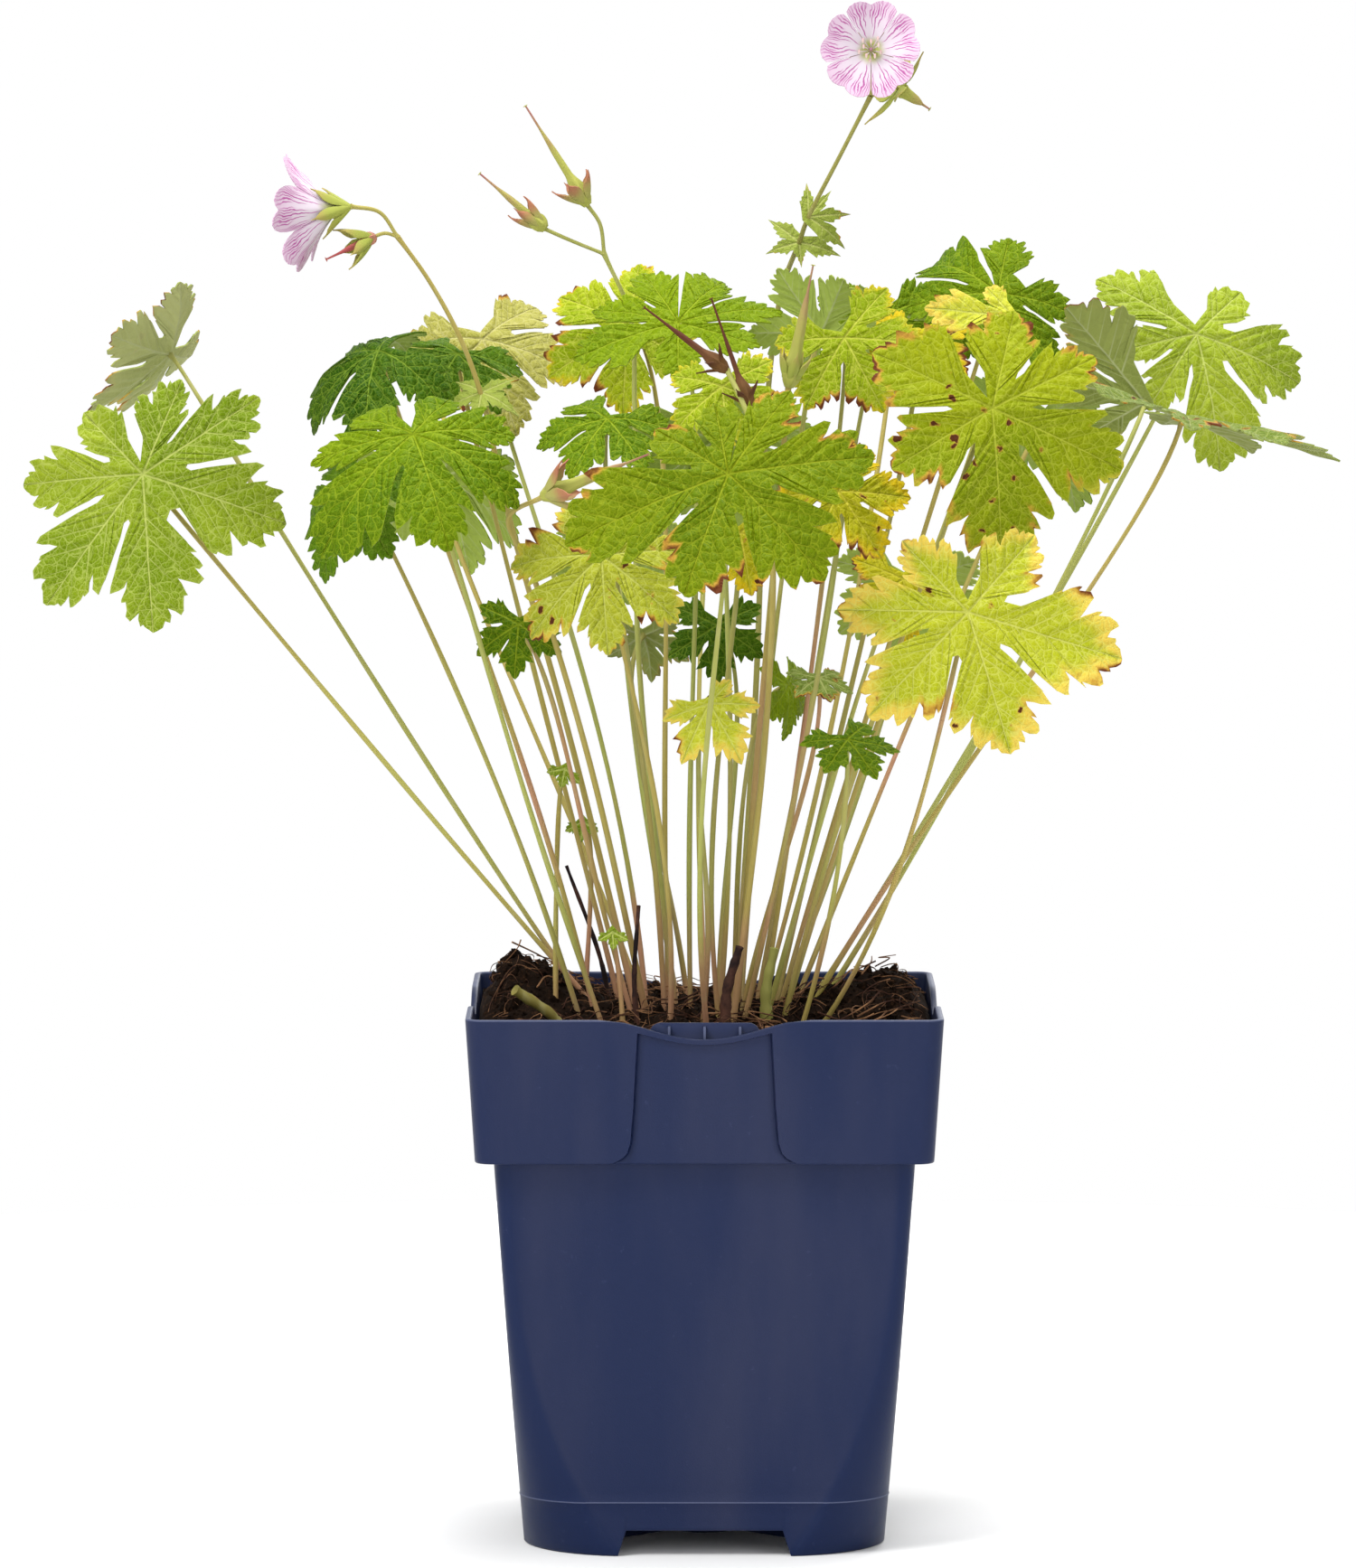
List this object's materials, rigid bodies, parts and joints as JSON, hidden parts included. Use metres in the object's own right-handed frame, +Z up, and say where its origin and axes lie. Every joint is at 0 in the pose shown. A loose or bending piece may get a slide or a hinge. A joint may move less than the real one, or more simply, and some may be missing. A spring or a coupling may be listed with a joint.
{
  "type": "hardy geranium in its pot",
  "caption": "Square nursery pot of soil with a clump of deeply lobed leaves on long thin stalks, beaked seed heads and open pale pink flowers.",
  "frame": {"origin": "middle of the pot's foot, on the surface that it stands on", "axes": "+Z up, -Y towards the front, +X to the right as seen from the front"},
  "size_m": [0.301, 0.2225, 0.3525],
  "materials": {
    "pot_plastic": "moulded satin",
    "potting_soil": "damp and crumbly",
    "leaf_light": "soft satin, hairy",
    "leaf_underside": "matt, hairy",
    "leaf_dark": "soft satin, hairy",
    "leaf_green": "soft satin, hairy",
    "leaf_yellow": "soft satin, spotted",
    "green_stem": "satin, hairy",
    "dead_stem": "dry and matt",
    "petal": "silky, veined"
  },
  "bodies": {
    "root": {"pot": "pot_plastic", "pot_foot": "pot_plastic", "soil": "potting_soil", "leaf_left_front": "leaf_light", "leaf_left_back": "leaf_underside", "leaf_left_drooping": "leaf_dark", "leaf_left_middle": "leaf_green", "leaf_left_shaded": "leaf_dark", "leaf_left_pale": "leaf_yellow", "leaf_left_upper": "leaf_dark", "leaf_left_low": "leaf_green", "leaf_middle_yellow": "leaf_yellow", "leaf_middle_top": "leaf_green", "leaf_middle_small": "leaf_green", "leaf_front_middle": "leaf_green", "leaf_front_low": "leaf_light", "leaf_under_yellow": "leaf_yellow", "leaf_low_front": "leaf_light", "leaf_low_pale": "leaf_underside", "leaf_low_dark": "leaf_dark", "leaf_low_grey": "leaf_underside", "leaf_low_narrow": "leaf_green", "leaf_middle_spotted": "leaf_yellow", "leaf_right_spotted": "leaf_green", "leaf_right_low": "leaf_yellow", "leaf_right_top": "leaf_green", "leaf_right_outer": "leaf_green", "leaf_right_edge": "leaf_underside", "leaf_right_folded": "leaf_underside", "leaf_right_small": "leaf_yellow", "leaf_back_grey": "leaf_underside", "leaf_back_upper": "leaf_green", "leaf_right_inner": "leaf_light", "leaf_right_shaded": "leaf_green", "leaf_right_brown": "leaf_yellow", "leaf_right_gold": "leaf_yellow", "leaf_right_speckled": "leaf_yellow", "leaf_low_right": "leaf_green", "leaf_back_left": "leaf_green", "leaf_back_middle": "leaf_green", "leaf_back_low": "leaf_light", "leaf_back_right": "leaf_green", "leaf_back_inner": "leaf_light", "young_leaf_high": "leaf_light", "young_leaf_middle": "leaf_light", "young_leaf_low": "leaf_light", "flower_stem_right": "green_stem", "flower_stem_left": "green_stem", "fruit_stem_left": "green_stem", "fruit_stem_right": "green_stem", "seed_stem": "dead_stem", "fruit_stem_low": "green_stem", "flower_right": "petal", "flower_left": "petal", "dead_stalk_left": "dead_stem", "dead_stalk_middle": "dead_stem", "dead_stub": "dead_stem", "young_shoot": "green_stem", "cut_stalk": "green_stem"}
  },
  "joints": []
}
